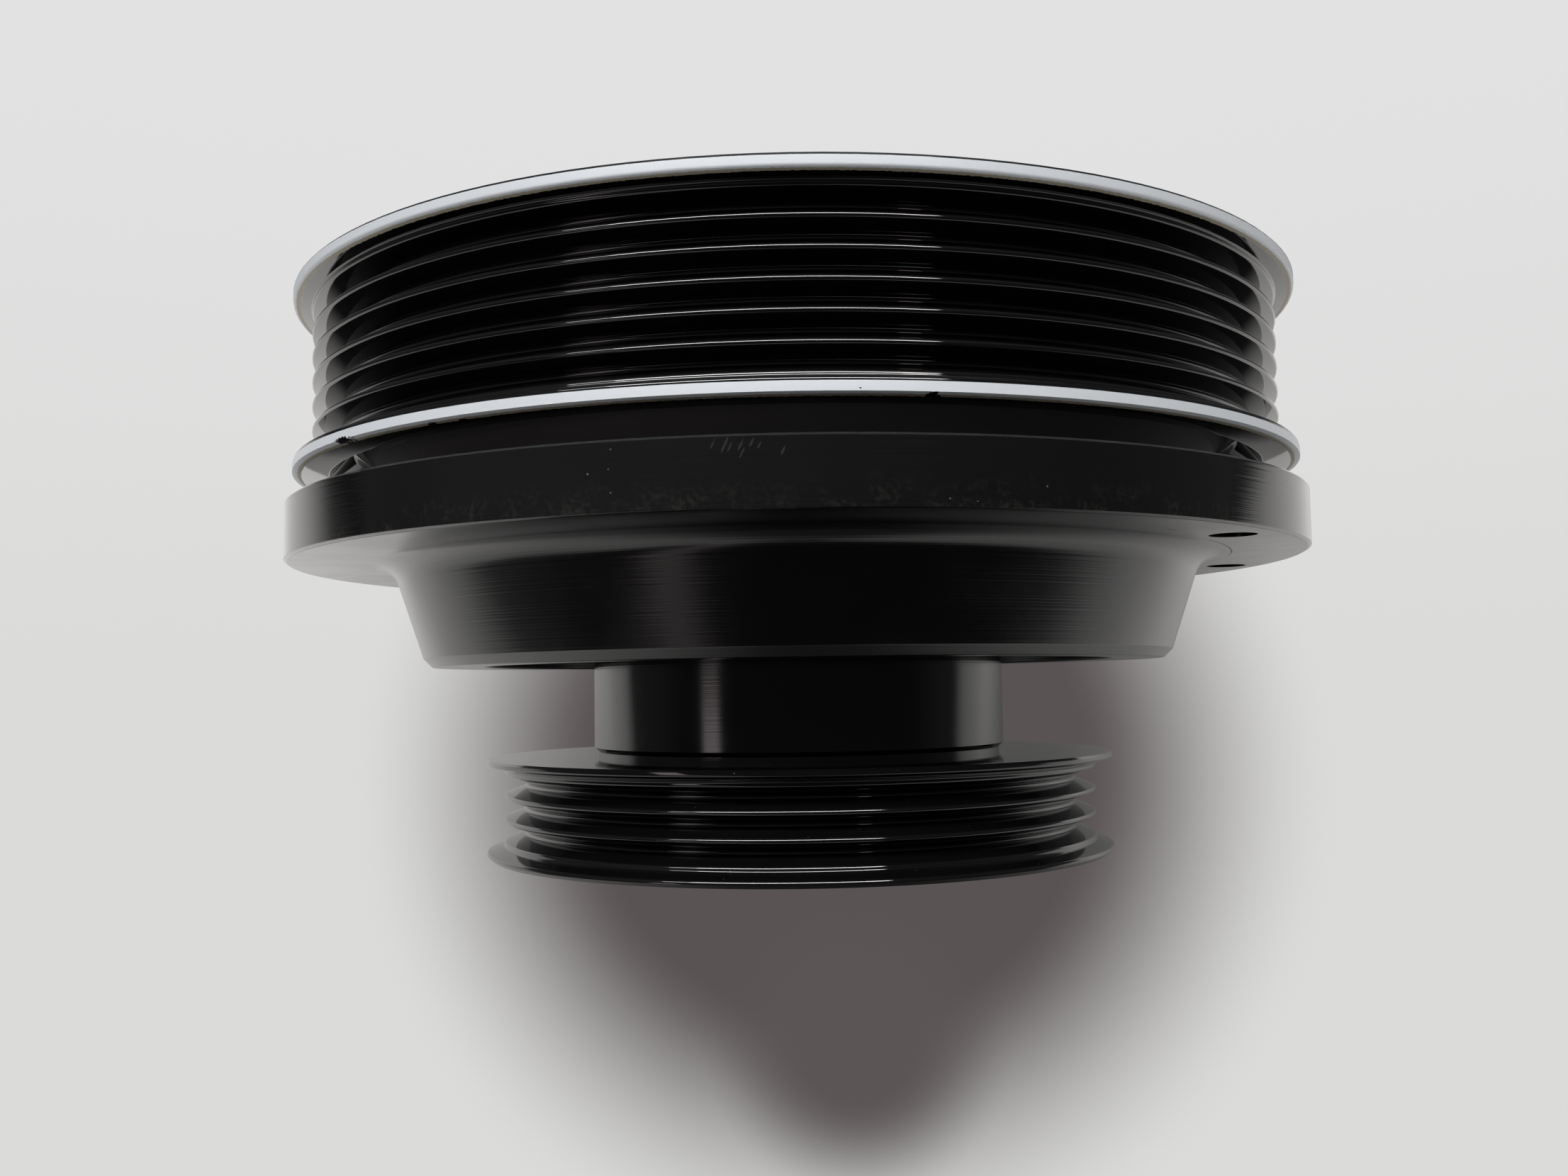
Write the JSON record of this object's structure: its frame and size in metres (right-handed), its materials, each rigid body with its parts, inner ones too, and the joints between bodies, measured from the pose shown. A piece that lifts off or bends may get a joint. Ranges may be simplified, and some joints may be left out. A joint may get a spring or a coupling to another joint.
{
  "type": "double multi-rib belt pulley",
  "caption": "Wide and narrow multi-rib belt pulleys on one flanged hub with a hollow conical boss, a neck and a keyed bore.",
  "frame": {"origin": "centre of the nose pulley's end face, which the part stands on", "axes": "+Z along the shaft axis, from the nose pulley up to the wide ring; +X through the keyway"},
  "size_m": [0.1552, 0.1552, 0.0834],
  "materials": {
    "hub_iron": "turned casting with a satin black coating",
    "ring_enamel": "turned casting in glossy black enamel, with both rims painted white",
    "nose_enamel": "turned casting in glossy black enamel"
  },
  "bodies": {
    "root": {"hub": "hub_iron", "grooved_ring": "ring_enamel", "nose_pulley": "nose_enamel"}
  },
  "joints": []
}
